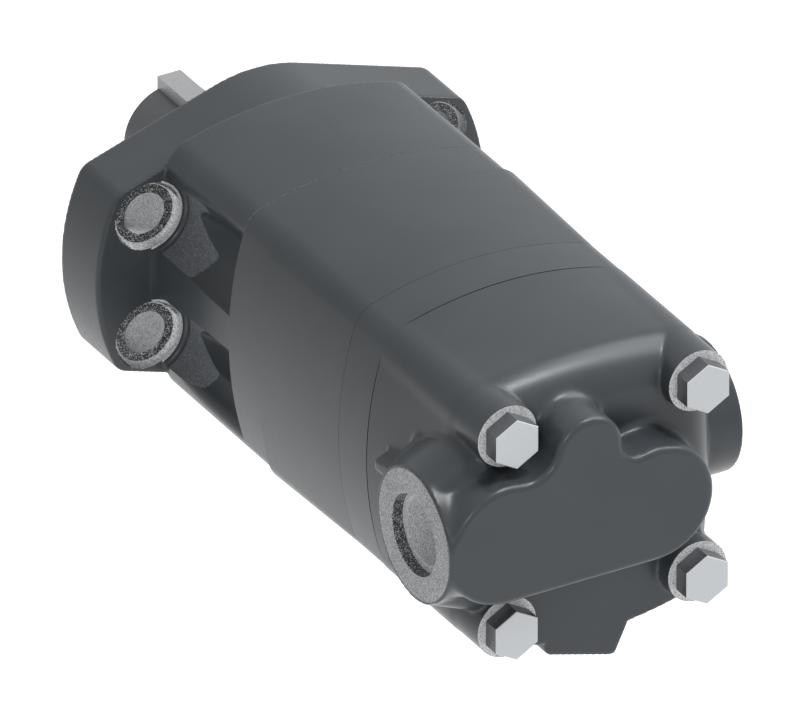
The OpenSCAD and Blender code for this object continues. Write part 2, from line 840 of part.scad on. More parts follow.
module cover_body() {
    foot_y = lobe_left.y - lobe_left.z;
    wide = port_face + 5;
    lower_half = body_half - 9;
    translate([0, 0, cover_z]) linear_extrude(12.01) body_outline(cover_corner_r);
    difference() {
        cover_shoulder();
        translate([-wide, -wide, step_z]) cube([2 * wide, wide + foot_y, 30]);
    }
    translate([0, 0, cover_z]) linear_extrude(step_z - cover_z) intersection() {
        body_outline(cover_corner_r);
        translate([-lower_half, -wide]) square([2 * lower_half, wide + foot_y + 4]);
    }
    at_bolts() {
        rod(cover_z, seat_z - 0.3, cover_corner_r);
        cone(seat_z - 0.3, seat_z, cover_corner_r, bolt_seat_r);
    }
    translate([0, 0, step_z - drain_boss_len]) linear_extrude(drain_boss_len) drain_boss_outline();
    at_left_port() port_boss();
    intersection() {
        at_right_port() port_boss();
        translate([0, -wide, cover_z]) cube([wide, 2 * wide, cover_len]);
    }
    rear_boss();
}

module cover_passages() {
    rod(cover_z - cut, cavity_end, cavity_r);
    rod(cavity_end - cut, balance_seat_end, balance_seat_r);
    rod(balance_seat_end - cut, tail_seat_end, tail_seat_r);
    rod(tail_seat_end - cut, left_way_end, neck_r);
    at_left_port() port_bore();
    at_left_port() rod(0, port_face - port_deep + cut, left_way_r);
    at_right_port() port_bore();
    translate([0, 0, right_way_z]) rotate([0, 90, 0])
        rod(cavity_r - right_way_r, port_face - port_deep + cut, right_way_r);
    at_pins() rod(balance_seat_end - cut, pin_z[1] + 0.3, pin_r + fit_gap);
    at_bolts() rod(cover_z - cut, seat_z + cut, bolt_hole_r);
    at_drain() {
        rod(-drain_len - 1.5, cut, drain_r + fit_gap);
        rod(-drain_seal_deep, cut, drain_r + drain_seal_w + fit_gap);
    }
}

module end_cover() {
    color(paint) stand() difference() {
        cover_body();
        cover_passages();
    }
}

module drain_plug() {
    color(steel) stand() at_drain() difference() {
        pin(-drain_len, -0.4, drain_r, 0.4);
        rod(-socket_deep, cut, socket_r, $fn = 6);
    }
}

module drain_seal() {
    color(rubber) stand() at_drain()
        tube(-drain_seal_deep, -0.8, drain_r + drain_seal_w, drain_r + fit_gap);
}

// seals and bolts between the sections

module body_seal(z0, z1) {
    rotate_extrude() translate([seal_r - seal_w / 2, z0]) square([seal_w, z1 - z0]);
}

module body_seals() {
    color(rubber) stand() {
        for (z = [wear_z, plate_z]) body_seal(z + fit_gap, z + seal_deep - fit_gap);
        for (z = [ring_z, cover_z]) body_seal(z - seal_deep + fit_gap, z - fit_gap);
    }
}

module cover_bolts() {
    color(steel) stand() at_bolts() {
        pin(wear_z - bolt_bite, seat_z + 0.5, bolt_r, 0.4);
        translate([0, 0, seat_z]) rotate([0, 0, 30]) cylinder(h = head_h, d = head_af / cos(30), $fn = 6);
    }
}

bearing_housing();
output_shaft();
shaft_key();
dust_seal();
shaft_seal();
backup_washer();
thrust_race_front();
thrust_race_rear();
thrust_rollers();
front_bearing_cup();
front_needles();
rear_bearing_cup();
rear_needles();
wear_plate();
main_drive();
roller_ring();
star();
drive_spacer();
roller_1();
roller_2();
roller_3();
roller_4();
roller_5();
roller_6();
roller_7();
valve_plate();
valve_drive();
valve_disc();
balance_ring();
balance_pins();
inner_face_seal();
outer_face_seal();
balance_spring();
end_cover();
drain_plug();
drain_seal();
body_seals();
cover_bolts();
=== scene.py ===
"""Orbital hydraulic motor: the looks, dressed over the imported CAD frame.

Shapes are worked out in the motor's own space, in millimetres: x to the right, z up and
s behind the mounting face, so a point goes to (x, -s, z) / 1000 in the row frame.
"""

import json
import math

import bmesh
import bpy
import numpy as np
import openvdb as vdb
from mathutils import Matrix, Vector


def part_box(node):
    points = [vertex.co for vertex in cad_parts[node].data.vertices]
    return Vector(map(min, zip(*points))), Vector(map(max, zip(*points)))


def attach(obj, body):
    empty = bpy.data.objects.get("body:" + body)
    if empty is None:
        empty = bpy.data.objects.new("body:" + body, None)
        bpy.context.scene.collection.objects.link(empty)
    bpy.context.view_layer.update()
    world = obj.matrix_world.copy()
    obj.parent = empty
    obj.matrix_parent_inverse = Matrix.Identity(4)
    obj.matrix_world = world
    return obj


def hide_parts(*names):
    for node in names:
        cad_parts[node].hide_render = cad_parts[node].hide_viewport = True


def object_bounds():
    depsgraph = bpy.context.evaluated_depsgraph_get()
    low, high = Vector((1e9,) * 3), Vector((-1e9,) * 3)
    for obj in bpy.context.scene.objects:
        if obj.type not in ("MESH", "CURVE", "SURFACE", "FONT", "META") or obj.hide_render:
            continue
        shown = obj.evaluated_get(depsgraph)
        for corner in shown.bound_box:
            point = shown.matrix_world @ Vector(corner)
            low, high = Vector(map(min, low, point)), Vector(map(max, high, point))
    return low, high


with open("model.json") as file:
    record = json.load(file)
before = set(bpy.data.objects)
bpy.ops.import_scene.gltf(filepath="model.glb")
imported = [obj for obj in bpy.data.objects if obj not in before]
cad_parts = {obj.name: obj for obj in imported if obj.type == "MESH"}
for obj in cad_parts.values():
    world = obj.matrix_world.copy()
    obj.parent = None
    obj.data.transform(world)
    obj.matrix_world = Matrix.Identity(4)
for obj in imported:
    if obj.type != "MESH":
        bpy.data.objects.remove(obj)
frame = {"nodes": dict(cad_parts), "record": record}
cad_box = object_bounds()
MM = 0.001

# Step of the grid that the castings are made on
GRID_STEP = 0.6
# How far a cutter stands out past what it cuts
SPARE = 2.0
# Tolerance for a face that lies on a machined plane
ON_PLANE = 0.02
# A square that is wider than the motor
WIDE_SQUARE = [(-90, -90), (90, -90), (90, 90), (-90, 90)]

# Stations behind the mounting face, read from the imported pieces
WEAR_S = -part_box("wear_plate")[1].y / MM
RING_S = -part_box("roller_ring")[1].y / MM
PLATE_S = -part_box("valve_plate")[1].y / MM
COVER_S = -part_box("valve_plate")[0].y / MM
BOSS_S = -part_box("end_cover")[0].y / MM
HEAD_TOP_S = -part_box("cover_bolts")[0].y / MM
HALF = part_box("wear_plate")[1].z / MM

# Body. BOLT is the distance of the cover bolts from both middle planes
BOLT = 32.5
CORNER_R = 10.3
COVER_CORNER_R = 9.95
RING_CORNER_R = 11.2
HEAD_H = 6.0
HEAD_AF = 14.29
HEAD_EDGE = 0.22
SHANK_R = 4.76
SHANK_TIP_R = 4.3
SHANK_REACH = 22.0
SHANK_TIP = 0.4
BOLT_HOLE_R = 5.15
BOLT_SEAT_R = 10.6
TAP_R = 4.79
TAP_REACH = 26.0
SEAT_S = HEAD_TOP_S - HEAD_H
STEP_S = SEAT_S - 5.9

# Dark seams between the body's sections, their groove walls painted near black as shadow: their depth and
# the half widths
SEAM_DEEP = 0.6
WEAR_SEAM = 0.24
RING_SEAM = 0.06
PLATE_SEAM = 0.05
COVER_SEAM = 0.26

# Flange
FLANGE_T = 22.0
FLANGE_R = 46.8
FLANGE_END_R = 66.6
FLANGE_CORNER_R = 6.5
FLANGE_SLOPE = math.radians(17.8)
PILOT_R = 41.275
PILOT_H = 6.0
MOUNT_R = 53.2
MOUNT_ANGLE = math.radians(22.5)
MOUNT_X = MOUNT_R * math.cos(MOUNT_ANGLE)
MOUNT_Z = MOUNT_R * math.sin(MOUNT_ANGLE)
MOUNT_HOLE_R = 6.8
MOUNT_SPOT_R = 11.1
MOUNT_SPOT_S = FLANGE_T - 2.2
MOUNT_SPOT_EDGE = 1.8
MOUNT_ROOM_R = 13.4
ROOM_EDGE = 1.6
ROOM_S = FLANGE_T + 0.03
RELIEF_DEEP = 2.0

# Bores of the housing, from the dust seal to the bearings
DUST_BORE_R = 21.1
DUST_BORE_END = -1.47
JOURNAL_BORE_R = 19.5
SEAL_BORE_R = 27.08
SEAL_BORE_S = 3.0
BEARING_BORE_R = 30.03
BEARING_BORE_S = 11.0

# Roller gear set and the plates at its ends
ROLLERS = 7
ROLLER_PITCH_R = 31.0
ROLLER_POCKET_R = 7.08
RING_LAND_R = 30.6
WEAR_BORE_R = 16.5
PLATE_BORE_R = 13.0
WAY_PITCH_R = 26.5
WAY_R = 2.9
SECTION_INSIDE_R = 38.5

# Hollow of the end cover: the disc, the balance ring and its tail
DISC_ROOM_R = 34.0
DISC_ROOM_END = 165.6
BALANCE_ROOM_R = 29.5
BALANCE_ROOM_END = 169.6
TAIL_ROOM_R = 25.3
TAIL_ROOM_END = 178.0
MIDDLE_WAY_R = 9.0

# Ports
PORT_FACE = 57.2
PORT_SPOT_R = 20.5
PORT_BOSS_R = 21.2
PORT_MOUTH_R = 12.8
PORT_MOUTH_DEEP = 3.6
PORT_R = 10.2
PORT_DEEP = 20.0
PORT_FLARE = 0.42
LEFT_PORT_S = 194.2
RIGHT_PORT_S = 169.8
LEFT_WAY_R = 8.0
RIGHT_WAY_R = 4.5
RIGHT_WAY_S = COVER_S + 10.5
RIGHT_WAY_START = 30.0

# Lobes of the rear boss: centre x, centre z, radius
LOBE_LEFT = (-37.4, 1.2, 19.8)
LOBE_TOP = (-9.8, 25.0, 11.4)
LOBE_RIGHT = (13.7, 0.4, 19.0)
HOLLOW_LEFT = 10.0
HOLLOW_RIGHT = 6.0

# Drain boss
DRAIN_MID = (-3.7, -53.7)
DRAIN_TILT = math.radians(16.1)
DRAIN_S = STEP_S - 12.0
DRAIN_LEN = 10.0
DRAIN_BORE_R = 5.03
DRAIN_SEAT_R = 6.53
DRAIN_LEFT, DRAIN_LEFT_Z, DRAIN_LEFT_SLOPE = 15.6, 50.0, 0.08
DRAIN_RIGHT, DRAIN_RIGHT_Z, DRAIN_RIGHT_SLOPE = 7.9, 56.9, 0.46
DRAIN_TOP_Z = 36.0
DRAIN_RUN = 24.0
DRAIN_ROUND = 1.6

# Cast forms of the housing: rims, blends and the flare at a pocket's root
CAST_EDGE = 0.6
BODY_EDGE = 0.3
FLANGE_BLEND = 0.4
POCKET_BLEND = 3.0
POCKET_ROOT = 9.0
POCKET_GAP, POCKET_GAP_ABOVE, POCKET_GAP_BELOW = 0.8, 2.9, 0.3
POCKET_TURN = 26.0

# Cast forms of the end cover
COVER_INSET = 0.1
COVER_DRAFT = 2.9
COVER_LAP = 8.0
CORE_RUN = 30.0
CORE_RISE = 1.2
CORE_ROUND = 12.8
CORE_BLEND = 0.8
LOWER_RISE = 6.0
LOWER_SIDE = 9.0
LOWER_BLEND = 3.0
BOSS_START = 24.0
BOSS_ROUND = 2.0
BOSS_BLEND = 3.0
LEFT_PORT_BLEND = 1.2
RIGHT_PORT_BLEND = 1.5
FLARE_X, FLARE_END_S, FLARE_BLEND = 36.0, 205.0, 5.0
RIB_X, RIB_INNER_X = 51.6, 40.0
RIB_MID_S, RIB_HALF = 172.0, 11.0
RIB_TOP, RIB_TOP_SLOPE_X, RIB_TOP_SLOPE_S = 7.2, 0.45, 0.19
RIB_UNDER, RIB_UNDER_SLOPE = 4.6, 1.2


# Distance fields

def arc(cx, cz, r, a0, a1, n):
    """Points of an arc of n chords from angle a0 to a1."""
    turns = [a0 + (a1 - a0) * i / n for i in range(n + 1)]
    return [(cx + r * math.cos(a), cz + r * math.sin(a)) for a in turns]


def smooth_min(a, b, k):
    h = np.clip(0.5 + 0.5 * (b - a) / k, 0.0, 1.0)
    return b + (a - b) * h - k * h * (1.0 - h)


def smooth_max(a, b, k):
    return -smooth_min(-a, -b, k)


def prism(outline, s, s0, s1, edge=0.0):
    """An outline's distance extruded from s0 to s1, with rounded rims."""
    across = outline + edge
    along = np.abs(s - (s0 + s1) / 2) - (s1 - s0) / 2 + edge
    inside = np.minimum(np.maximum(across, along), 0.0)
    return inside + np.hypot(np.maximum(across, 0.0), np.maximum(along, 0.0)) - edge


def crown_radius(half, corner):
    """Radius of the body's crowned sides, which run smoothly into its corners."""
    top = half ** 2 + 2 * BOLT ** 2 - 2 * half * BOLT - corner ** 2
    return top / (2 * (half - BOLT - corner))


def body_outline(x, z, half, corner):
    big = crown_radius(half, corner)
    u, v = np.maximum(np.abs(x), np.abs(z)), np.minimum(np.abs(x), np.abs(z))
    along = u - (half - big)
    on_crown = v * (BOLT - half + big) < BOLT * along
    return np.where(on_crown, np.hypot(along, v) - big, np.hypot(u - BOLT, v - BOLT) - corner)


def flange_corner():
    n = Vector((math.sin(FLANGE_SLOPE), math.cos(FLANGE_SLOPE)))
    off, reach = FLANGE_R - FLANGE_CORNER_R, FLANGE_END_R - FLANGE_CORNER_R
    return off * n + math.sqrt(reach ** 2 - off ** 2) * Vector((n.y, -n.x))


def flange_outline(x, z):
    n = (math.sin(FLANGE_SLOPE), math.cos(FLANGE_SLOPE))
    c = flange_corner()
    ax, az = np.abs(x), np.abs(z)
    run = ax * n[1] - az * n[0]
    reach = c.x * n[1] - c.y * n[0]
    line = ax * n[0] + az * n[1] - FLANGE_R
    middle = np.hypot(ax, az) - FLANGE_R
    end = np.hypot(ax, az) - FLANGE_END_R
    corner = np.hypot(ax - c.x, az - c.y) - FLANGE_CORNER_R
    past_corner = c.x * az - c.y * ax < 0
    side = np.where(run < reach, line, corner)
    side = np.where(past_corner, end, side)
    return np.where(run < 0, middle, side)


def hollow_centre(a, b, r):
    """Centre of a hollow that touches two lobes from outside, to the right of a-b."""
    ra, rb = a[2] + r, b[2] + r
    v = Vector((b[0] - a[0], b[1] - a[1]))
    d = v.length
    u = (ra * ra - rb * rb + d * d) / (2 * d)
    h = math.sqrt(ra * ra - u * u)
    return (a[0] + (u * v.x + h * v.y) / d, a[1] + (u * v.y - h * v.x) / d)


def heading(a, b):
    return math.atan2(b[1] - a[1], b[0] - a[0])


def clockwise(a, b):
    return b - 2 * math.pi if b > a else b


def lobed_ring():
    """Rear boss: three lobes over a straight foot, with hollows between them."""
    p = hollow_centre(LOBE_RIGHT, LOBE_TOP, HOLLOW_RIGHT)
    q = hollow_centre(LOBE_TOP, LOBE_LEFT, HOLLOW_LEFT)
    left, top, right = LOBE_LEFT[:2], LOBE_TOP[:2], LOBE_RIGHT[:2]
    quarter = math.pi / 2
    return (arc(*right, LOBE_RIGHT[2], -quarter, heading(right, p), 40)
            + arc(*p, HOLLOW_RIGHT, heading(p, right), clockwise(heading(p, right), heading(p, top)), 16)
            + arc(*top, LOBE_TOP[2], heading(top, p), heading(top, q), 30)
            + arc(*q, HOLLOW_LEFT, heading(q, top), clockwise(heading(q, top), heading(q, left)), 20)
            + arc(*left, LOBE_LEFT[2], heading(left, q), 3 * quarter, 40))


def ring_distance(ring, x, z):
    """Signed distance to a closed ring of points, on a grid of x and z."""
    px, pz = np.broadcast_arrays(x[:, :, 0], z[:, :, 0])
    best = np.full(px.shape, 1e6)
    inside = np.zeros(px.shape, dtype=bool)
    for (ax, az), (bx, bz) in zip(ring, ring[1:] + ring[:1]):
        ex, ez = bx - ax, bz - az
        if math.hypot(ex, ez) < 1e-6:
            continue
        t = np.clip(((px - ax) * ex + (pz - az) * ez) / (ex * ex + ez * ez), 0.0, 1.0)
        best = np.minimum(best, np.hypot(px - ax - t * ex, pz - az - t * ez))
        if abs(ez) > 1e-9:
            inside ^= ((az > pz) != (bz > pz)) & (px < ex * (pz - az) / ez + ax)
    return np.where(inside, -best, best)[:, :, None]


def pocket_gap(x, z, cx, cz):
    """Room between the bolt clearance and the cast pocket's wall, round one mounting hole.

    The turn is 0 degrees towards the motor's middle and 90 degrees upwards.
    """
    turn = np.degrees(np.arctan2(z - cz, (x - cx) * (-1 if cx > 0 else 1)))
    above = np.clip((turn + POCKET_TURN) / POCKET_TURN, 0.0, 1.0)
    above = above - 0.7 * np.clip((turn - 4.0) / 18.0, 0.0, 1.0)
    below = np.clip((-POCKET_TURN - turn) / 37.0, 0.0, 1.0)
    return POCKET_GAP + POCKET_GAP_ABOVE * above + POCKET_GAP_BELOW * below


def housing_field(x, z, s):
    """Flange and body, with a cast pocket behind each mounting hole."""
    flange = prism(flange_outline(x, z), s, 0.0, FLANGE_T, CAST_EDGE)
    body = prism(body_outline(x, z, HALF, CORNER_R), s, FLANGE_T - 1.0, WEAR_S + 3.0, BODY_EDGE)
    rise = np.maximum(s - FLANGE_T, 0.0)
    root = POCKET_ROOT * np.exp(-rise / POCKET_ROOT)
    for cx, cz in at_mounts():
        wall = MOUNT_ROOM_R + pocket_gap(x, z, cx, cz) - root
        body = smooth_max(body, wall - np.hypot(x - cx, z - cz), POCKET_BLEND)
    return smooth_min(flange, body, FLANGE_BLEND)


def cover_core(x, z, s):
    """Drafted sides that round over towards the rear, with the bolt columns beside them."""
    draft = np.clip((s - COVER_S) / (LEFT_PORT_S - COVER_S), 0.0, 1.3)
    core = body_outline(x, z, HALF - COVER_INSET - COVER_DRAFT * draft, COVER_CORNER_R)
    core = prism(core, s, COVER_S - CORE_RUN, STEP_S + CORE_RISE, CORE_ROUND)
    core = np.maximum(core, COVER_S - COVER_LAP - s)
    foot = LOBE_LEFT[1] - LOBE_LEFT[2]
    core = smooth_max(core, np.minimum(s - STEP_S, foot + 1.0 - z), CORE_BLEND)
    lower = body_outline(x, z, HALF - COVER_INSET, COVER_CORNER_R)
    lower = prism(lower, s, COVER_S - COVER_LAP, STEP_S, CAST_EDGE)
    room = np.maximum(z - foot - LOWER_RISE, np.abs(x) - (HALF - LOWER_SIDE))
    lower = smooth_max(lower, room, LOWER_BLEND)
    columns = np.hypot(np.abs(x) - BOLT, np.abs(z) - BOLT) - COVER_CORNER_R
    columns = prism(columns, s, COVER_S - COVER_LAP, SEAT_S + 1.5)
    return smooth_min(np.minimum(core, lower), columns, CORE_BLEND)


def left_port_boss(x, z, s):
    """Round boss with a flare at its root, and the small cast rib in front of it.

    The rib's sloping sides are divided by the length of their slopes.
    """
    away = np.hypot(z, s - LEFT_PORT_S)
    boss = prism(away - PORT_BOSS_R, -x, 0.0, PORT_FACE, CAST_EDGE)
    cone = (away - PORT_BOSS_R - PORT_FLARE * (PORT_FACE + x)) / math.hypot(1.0, PORT_FLARE)
    cone = np.maximum(np.maximum(cone, -x - PORT_FACE), x + FLARE_X)
    cone = smooth_max(cone, s - FLARE_END_S, FLARE_BLEND)
    boss = smooth_min(boss, cone, 1.0)
    start_s = RIB_MID_S - RIB_HALF
    top = z - (RIB_TOP + RIB_TOP_SLOPE_X * (x + RIB_X) + RIB_TOP_SLOPE_S * (s - start_s))
    under = RIB_UNDER - RIB_UNDER_SLOPE * (x + RIB_X) - z
    ends = np.maximum(np.abs(s - RIB_MID_S) - RIB_HALF, -RIB_X - x)
    rib = np.maximum(np.maximum(top / 1.1, under / 1.56), ends)
    return smooth_min(boss, np.maximum(rib, x + RIB_INNER_X), 0.6)


def cover_field(x, z, s):
    """Core, drain boss, both ports and the lobed rear boss, blended as cast."""
    body = cover_core(x, z, s)
    body = np.minimum(body, drain_field(x, z, s))
    right = prism(np.hypot(z, s - RIGHT_PORT_S) - PORT_BOSS_R, x, 0.0, PORT_FACE, CAST_EDGE)
    body = smooth_min(body, left_port_boss(x, z, s), LEFT_PORT_BLEND)
    body = smooth_min(body, right, RIGHT_PORT_BLEND)
    boss = prism(ring_distance(lobed_ring(), x, z), s, COVER_S + BOSS_START, BOSS_S, BOSS_ROUND)
    return smooth_min(body, boss, BOSS_BLEND)


def drain_field(x, z, s):
    """Boss under the cover with a tilted floor and sloping sides."""
    n = (-math.sin(DRAIN_TILT), -math.cos(DRAIN_TILT))
    floor = (x - DRAIN_MID[0]) * n[0] + (z - DRAIN_MID[1]) * n[1]
    left = -(x + DRAIN_LEFT) - DRAIN_LEFT_SLOPE * (z + DRAIN_LEFT_Z)
    right = ((x - DRAIN_RIGHT) - DRAIN_RIGHT_SLOPE * (z + DRAIN_RIGHT_Z)) / 1.1
    lower = smooth_max(floor, left, DRAIN_ROUND)
    outline = smooth_max(lower, smooth_max(right, z + DRAIN_TOP_Z, 1.0), DRAIN_ROUND)
    return prism(outline, s, STEP_S - DRAIN_RUN, STEP_S, CAST_EDGE)


# Meshes

def to_row(points):
    """Points of the motor's own space in the row frame."""
    points = np.asarray(points, dtype=np.float64)
    return np.column_stack((points[:, 0], -points[:, 2], points[:, 1])) * MM


def new_mesh(name, verts, faces, smooth=True):
    mesh = bpy.data.meshes.new(name)
    mesh.from_pydata([tuple(v) for v in verts], [], [tuple(int(i) for i in f) for f in faces])
    mesh.validate()
    piece = bpy.data.objects.new(name, mesh)
    bpy.context.scene.collection.objects.link(piece)
    if smooth:
        mesh.shade_smooth()
    return piece


def cast(name, field, low, high, step=GRID_STEP):
    """The zero surface of a distance field, as a mesh."""
    axes = [np.arange(a, b, step, dtype=np.float32) for a, b in zip(low, high)]
    x, z, s = np.meshgrid(*axes, indexing="ij", sparse=True)
    values = np.clip(field(x, z, s), -3 * step, 3 * step).astype(np.float32)
    grid = vdb.FloatGrid(3 * step)
    grid.copyFromArray(np.ascontiguousarray(values))
    points, triangles, quads = grid.convertToPolygons(isovalue=0.0, adaptivity=0.0)
    points = points * step + np.array(low)
    return new_mesh(name, to_row(points), [tuple(q) for q in quads] + [tuple(t) for t in triangles])


def flatten(piece, levels, reach=0.35):
    """Sets vertices that nearly lie on a flat rear face exactly on it."""
    for vertex in piece.data.vertices:
        for level in levels:
            if abs(-vertex.co.y / MM - level) < reach and abs(vertex.normal.y) > 0.97:
                vertex.co.y = -level * MM


def keep_inside(piece, node):
    """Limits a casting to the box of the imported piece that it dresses."""
    low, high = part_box(node)
    for vertex in piece.data.vertices:
        vertex.co = [min(max(c, a), b) for c, a, b in zip(vertex.co, low, high)]


def rod_points(r, n):
    return [(r * math.cos(2 * math.pi * i / n), r * math.sin(2 * math.pi * i / n)) for i in range(n)]


def lathe_cutter(name, profile, place, n=128):
    """Closed solid of revolution. profile lists (distance along, radius); place maps
    (across, up, along) to the motor's x, z, s."""
    verts, faces = [], []
    for along, r in profile:
        verts += [place(a, b, along) for a, b in rod_points(r, n)]
    last = len(profile) - 1
    faces.append(tuple(range(n))[::-1])
    for k in range(last):
        for i in range(n):
            j = (i + 1) % n
            faces.append((k * n + i, k * n + j, k * n + n + j, k * n + n + i))
    faces.append(tuple(last * n + i for i in range(n)))
    piece = new_mesh(name, to_row(verts), faces, smooth=False)
    tidy_normals(piece)
    return piece


def outline_cutter(name, points, s0, s1):
    """Closed solid: an outline in x and z, from s0 to s1."""
    n = len(points)
    verts = [(p[0], p[1], s0) for p in points] + [(p[0], p[1], s1) for p in points]
    faces = [tuple(range(n))[::-1], tuple(range(n, 2 * n))]
    faces += [(i, (i + 1) % n, n + (i + 1) % n, n + i) for i in range(n)]
    piece = new_mesh(name, to_row(verts), faces, smooth=False)
    tidy_normals(piece)
    return piece


def tidy_normals(piece):
    mesh = bmesh.new()
    mesh.from_mesh(piece.data)
    bmesh.ops.recalc_face_normals(mesh, faces=mesh.faces)
    mesh.to_mesh(piece.data)
    mesh.free()


def foot_fillet(s, r, edge):
    """Profile of the rounded corner between a bore's floor at s and its wall at r."""
    turns = [t * math.pi / 16 for t in range(9)]
    return [(s + edge * (1 - math.cos(a)), r - edge * (1 - math.sin(a))) for a in turns]


def at_axis(cx, cz):
    return lambda a, b, along: (cx + a, cz + b, along)


def along_x(side, s):
    return lambda a, b, along: (side * along, a * side, s + b)


def along_drain(a, b, along):
    n = (-math.sin(DRAIN_TILT), -math.cos(DRAIN_TILT))
    t = (-n[1], n[0])
    return (DRAIN_MID[0] + n[0] * along + t[0] * a, DRAIN_MID[1] + n[1] * along + t[1] * a, DRAIN_S + b)


def boolean(piece, cutters, operation="DIFFERENCE"):
    for cutter in cutters:
        mod = piece.modifiers.new("cut", "BOOLEAN")
        mod.operation = operation
        mod.solver = "MANIFOLD"
        mod.object = cutter
        bpy.context.view_layer.objects.active = piece
        bpy.ops.object.modifier_apply(modifier=mod.name)
        bpy.data.objects.remove(cutter)


def at_bolts():
    return [(sx * BOLT, sz * BOLT) for sx in (-1, 1) for sz in (-1, 1)]


def at_mounts():
    return [(sx * MOUNT_X, sz * MOUNT_Z) for sx in (-1, 1) for sz in (-1, 1)]


def on_circle(r, offset=0.0):
    """Places on a circle, one for each roller."""
    turns = [2 * math.pi * (i + offset) / ROLLERS for i in range(ROLLERS)]
    return [(r * math.cos(a), r * math.sin(a)) for a in turns]


def shade_by_angle(piece, degrees=35.0):
    """Smooth faces with sharp edges kept where the surface turns quickly."""
    mesh = piece.data
    mesh.shade_smooth()
    mesh.set_sharp_from_angle(angle=math.radians(degrees))


# Materials

def node_material(name):
    """A material, its node tree and its main shader."""
    material = bpy.data.materials.new(name)
    material.use_nodes = True
    tree = material.node_tree
    shader = tree.nodes["Principled BSDF"]
    return material, tree, shader


def link(tree, a, b):
    tree.links.new(a, b)


def coords(tree, scale=1.0):
    """Object coordinates in millimetres times scale."""
    tex = tree.nodes.new("ShaderNodeTexCoord")
    mapping = tree.nodes.new("ShaderNodeMapping")
    mapping.inputs["Scale"].default_value = (1000 * scale,) * 3
    link(tree, tex.outputs["Object"], mapping.inputs["Vector"])
    return mapping.outputs["Vector"]


def noise(tree, vector, scale, detail=2.0, roughness=0.5):
    node = tree.nodes.new("ShaderNodeTexNoise")
    node.inputs["Scale"].default_value = scale
    node.inputs["Detail"].default_value = detail
    node.inputs["Roughness"].default_value = roughness
    link(tree, vector, node.inputs["Vector"])
    return node.outputs["Fac"]


def ramp(tree, value, stops):
    node = tree.nodes.new("ShaderNodeValToRGB")
    band = node.color_ramp
    while len(band.elements) < len(stops):
        band.elements.new(0.5)
    for element, (place, shade) in zip(band.elements, stops):
        element.position = place
        element.color = (*shade, 1.0) if len(shade) == 3 else (shade[0],) * 3 + (1.0,)
    link(tree, value, node.inputs["Fac"])
    return node.outputs["Color"]


def bump(tree, value, strength, distance_mm):
    node = tree.nodes.new("ShaderNodeBump")
    node.inputs["Strength"].default_value = strength
    node.inputs["Distance"].default_value = distance_mm * MM
    link(tree, value, node.inputs["Height"])
    return node.outputs["Normal"]


def paint_material():
    """Dark blue-grey satin paint over a fine casting skin."""
    material, tree, shader = node_material("paint")
    vector = coords(tree)
    broad = noise(tree, vector, 0.045, 3.0)
    colour = ramp(tree, broad, [(0.3, (0.049, 0.057, 0.064)), (0.7, (0.055, 0.064, 0.072))])
    link(tree, colour, shader.inputs["Base Color"])
    rough = ramp(tree, noise(tree, vector, 0.6, 4.0), [(0.3, (0.28,)), (0.7, (0.33,))])
    link(tree, rough, shader.inputs["Roughness"])
    link(tree, bump(tree, noise(tree, vector, 1.6, 4.0), 0.12, 0.02), shader.inputs["Normal"])
    shader.inputs["Specular IOR Level"].default_value = 0.36
    return material


def machined_material(name, stops, grain=0.26):
    """Bare machined iron with a fine black and white sparkle."""
    material, tree, shader = node_material(name)
    vector = coords(tree)
    cells = tree.nodes.new("ShaderNodeTexWhiteNoise")
    snap = tree.nodes.new("ShaderNodeVectorMath")
    snap.operation = "SNAP"
    snap.inputs[1].default_value = (grain,) * 3
    link(tree, vector, snap.inputs[0])
    link(tree, snap.outputs["Vector"], cells.inputs["Vector"])
    broad = noise(tree, vector, 0.12, 2.0)
    mix = tree.nodes.new("ShaderNodeMath")
    mix.operation = "MULTIPLY_ADD"
    mix.inputs[1].default_value = 0.2
    link(tree, broad, mix.inputs[0])
    link(tree, cells.outputs["Value"], mix.inputs[2])
    link(tree, ramp(tree, mix.outputs["Value"], stops), shader.inputs["Base Color"])
    shader.inputs["Metallic"].default_value = 0.1
    shader.inputs["Roughness"].default_value = 0.5
    link(tree, bump(tree, cells.outputs["Value"], 0.3, 0.04), shader.inputs["Normal"])
    return material


def steel_material(name, light, dark, roughness, metallic=0.6, grain=2.5):
    material, tree, shader = node_material(name)
    vector = coords(tree)
    colour = ramp(tree, noise(tree, vector, grain, 4.0), [(0.3, dark), (0.7, light)])
    link(tree, colour, shader.inputs["Base Color"])
    shader.inputs["Metallic"].default_value = metallic
    wear = [(0.3, (roughness - 0.05,)), (0.7, (roughness + 0.05,))]
    rough = ramp(tree, noise(tree, vector, 0.5, 3.0), wear)
    link(tree, rough, shader.inputs["Roughness"])
    link(tree, bump(tree, noise(tree, vector, 3.0, 3.0), 0.12, 0.02), shader.inputs["Normal"])
    return material


def rubber_material():
    material, tree, shader = node_material("rubber")
    vector = coords(tree)
    shades = [(0.3, (0.012, 0.012, 0.013)), (0.7, (0.022, 0.022, 0.024))]
    colour = ramp(tree, noise(tree, vector, 0.8, 3.0), shades)
    link(tree, colour, shader.inputs["Base Color"])
    shader.inputs["Roughness"].default_value = 0.6
    link(tree, bump(tree, noise(tree, vector, 4.0, 3.0), 0.2, 0.03), shader.inputs["Normal"])
    return material


